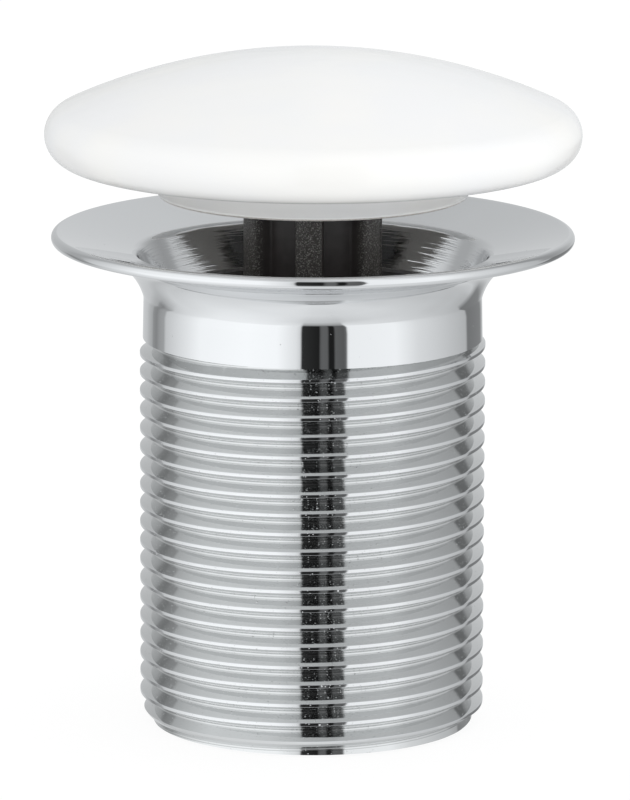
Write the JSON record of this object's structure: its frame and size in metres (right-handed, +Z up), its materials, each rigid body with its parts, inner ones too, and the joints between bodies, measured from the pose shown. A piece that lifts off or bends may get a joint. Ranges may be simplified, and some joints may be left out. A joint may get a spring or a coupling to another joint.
{
  "type": "free-flow basin waste",
  "caption": "Chromed free-flow basin waste: dished flange over a threaded tail, and a round white ceramic cover whose ribbed stem plugs into a spoked insert in the throat.",
  "frame": {"origin": "centre of the tail end face, the surface that the part stands on", "axes": "+Z up along the axis of the tail, from the tail end through the flange to the crown of the cover; X and Y are level, and -Y faces the front of the picture"},
  "size_m": [0.0644, 0.0644, 0.0816],
  "materials": {
    "chrome": "bright chrome plate on turned and polished brass",
    "black_acetal": "black injection-moulded acetal with a fine spark-eroded texture",
    "nitrile": "black nitrile rubber, moulded, slightly greasy",
    "pad_rubber": "dark grey soft rubber sheet",
    "glazed_ceramic": "white glossy glaze on fired sanitary ceramic, unglazed on the foot",
    "brass": "turned brass with knurled bands",
    "stainless": "bright drawn stainless steel"
  },
  "bodies": {
    "waste": {"waste_body": "chrome", "guide_insert": "black_acetal", "insert_o_ring": "nitrile"},
    "stem_rings": {"stem_o_ring_upper": "nitrile", "stem_o_ring_lower": "nitrile"},
    "cover": {"stem": "black_acetal", "cover_pad": "pad_rubber", "ceramic_cover": "glazed_ceramic", "cover_bush": "brass", "cover_screw": "stainless", "screw_washer": "stainless"}
  },
  "joints": [
    {"name": "cover_lift", "type": "slide", "parent": "waste", "child": "stem_rings", "axis": [0, 0, 1], "range_m": [0, 0.04]},
    {"name": "cover_turn", "type": "hinge", "parent": "stem_rings", "child": "cover", "pos_m": [0, 0, 0.05], "axis": [0, 0, 1], "continuous": true}
  ]
}
